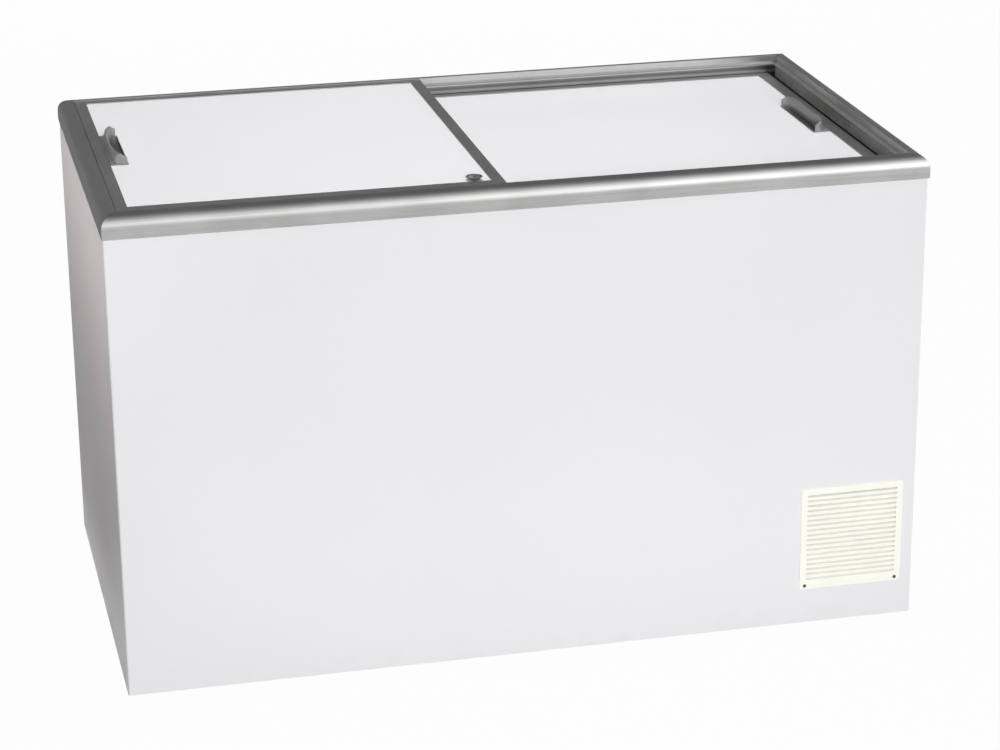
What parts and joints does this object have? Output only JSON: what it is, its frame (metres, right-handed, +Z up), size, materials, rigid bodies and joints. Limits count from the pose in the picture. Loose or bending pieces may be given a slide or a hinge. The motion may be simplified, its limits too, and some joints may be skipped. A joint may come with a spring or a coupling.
{
  "type": "chest freezer",
  "caption": "Long white chest freezer with two opaque sliding lids on stepped tracks in a grey metal top frame, finger-grip handles, a lid lock and a louvred vent grille low on the front",
  "frame": {"origin": "on the floor at the centre of the footprint", "axes": "+X along the length to the right as seen from the front, +Y to the back, +Z up"},
  "size_m": [1.303, 0.714, 0.8148],
  "materials": {
    "white_paint": "satin",
    "galvanised": "satin",
    "liner_metal": "satin",
    "foam": "matte",
    "frame_metal": "satin",
    "lid_strip": "satin",
    "lid_white": "satin",
    "grey_plastic": "satin",
    "cream_plastic": "satin",
    "dark_plastic": "satin",
    "screw_metal": "satin",
    "lock_metal": "satin",
    "black_paint": "satin",
    "copper": "satin",
    "rubber": "matte"
  },
  "bodies": {
    "cabinet": {"outer_wrap": "white_paint", "rear_panel": "white_paint", "rear_cover": "white_paint", "base_pan": "galvanised", "bay_partition": "galvanised", "fan_motor": "galvanised", "fan_bracket": "galvanised", "inner_liner": "liner_metal", "insulation_foam": "foam", "frame_front": "frame_metal", "frame_back": "frame_metal", "frame_left": "frame_metal", "frame_right": "frame_metal", "corner_key_front_left": "grey_plastic", "corner_key_front_right": "grey_plastic", "corner_key_back_left": "grey_plastic", "corner_key_back_right": "grey_plastic", "front_grille": "cream_plastic", "thermostat_box": "cream_plastic", "cord_gland": "dark_plastic", "fan_shroud": "dark_plastic", "terminal_box": "dark_plastic", "grille_screw_1": "screw_metal", "grille_screw_2": "screw_metal", "rear_screw_1": "screw_metal", "rear_screw_2": "screw_metal", "rear_screw_3": "screw_metal", "rear_screw_4": "screw_metal", "compressor": "black_paint", "compressor_plate": "black_paint", "condenser_coil": "black_paint", "evaporator_coil": "copper", "filter_drier": "copper", "foot_front_left": "rubber", "foot_front_right": "rubber", "foot_back_left": "rubber", "foot_back_right": "rubber", "compressor_mount_1": "rubber", "compressor_mount_2": "rubber", "compressor_mount_3": "rubber", "compressor_mount_4": "rubber"},
    "left_lid": {"left_lid_strip_front": "lid_strip", "left_lid_strip_back": "lid_strip", "left_lid_strip_left": "lid_strip", "left_lid_strip_right": "lid_strip", "left_lid_panel": "lid_white", "left_lid_handle": "grey_plastic", "lock_rosette": "lock_metal"},
    "right_lid": {"right_lid_strip_front": "lid_strip", "right_lid_strip_back": "lid_strip", "right_lid_strip_left": "lid_strip", "right_lid_strip_right": "lid_strip", "right_lid_panel": "lid_white", "right_lid_handle": "grey_plastic", "right_lid_stile": "rubber"},
    "lock": {"lock_barrel": "dark_plastic", "lock_cam": "screw_metal"},
    "fan": {"fan_blades": "dark_plastic"}
  },
  "joints": [
    {"name": "left_lid_slide", "type": "slide", "parent": "cabinet", "child": "left_lid", "axis": [1, 0, 0], "range_m": [0, 0.65]},
    {"name": "right_lid_slide", "type": "slide", "parent": "cabinet", "child": "right_lid", "axis": [1, 0, 0], "range_m": [-0.55, 0]},
    {"name": "lock_turn", "type": "hinge", "parent": "left_lid", "child": "lock", "pos_m": [-0.0663, -0.292, 0.7973], "axis": [0, 0, -1], "range_deg": [0, 90]},
    {"name": "fan_spin", "type": "hinge", "parent": "cabinet", "child": "fan", "pos_m": [0.529, -0.3066, 0.1083], "axis": [0, 1, 0], "continuous": true}
  ]
}
